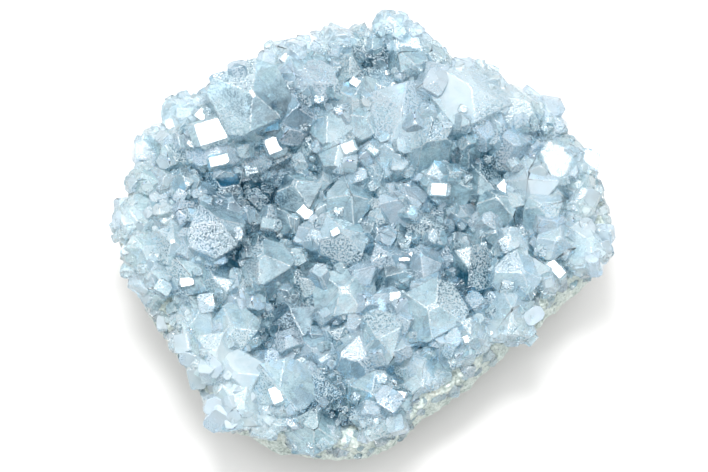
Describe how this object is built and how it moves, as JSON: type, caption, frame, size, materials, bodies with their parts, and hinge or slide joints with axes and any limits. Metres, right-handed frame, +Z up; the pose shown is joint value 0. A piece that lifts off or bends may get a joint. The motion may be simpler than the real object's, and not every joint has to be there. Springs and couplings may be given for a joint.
{
  "type": "celestite geode",
  "caption": "Shallow section of a geode: a rough rounded outer wall lined with a crust of blocky pale sky-blue crystals, resting on a small flat spot.",
  "frame": {"origin": "under the middle of the outline seen from above, on the surface that the geode rests on", "axes": "+X along the width of the crystal face, -Y towards a person who looks at it, +Z up out of the crystals"},
  "size_m": [0.15, 0.1386, 0.059],
  "materials": {
    "rind": "rough massive celestite and marl, pale grey with beige specks",
    "crystal": "glassy translucent pale sky-blue crystal faces with milky veils"
  },
  "bodies": {
    "root": {"rind": "rind", "crystal_crust": "crystal"}
  },
  "joints": []
}
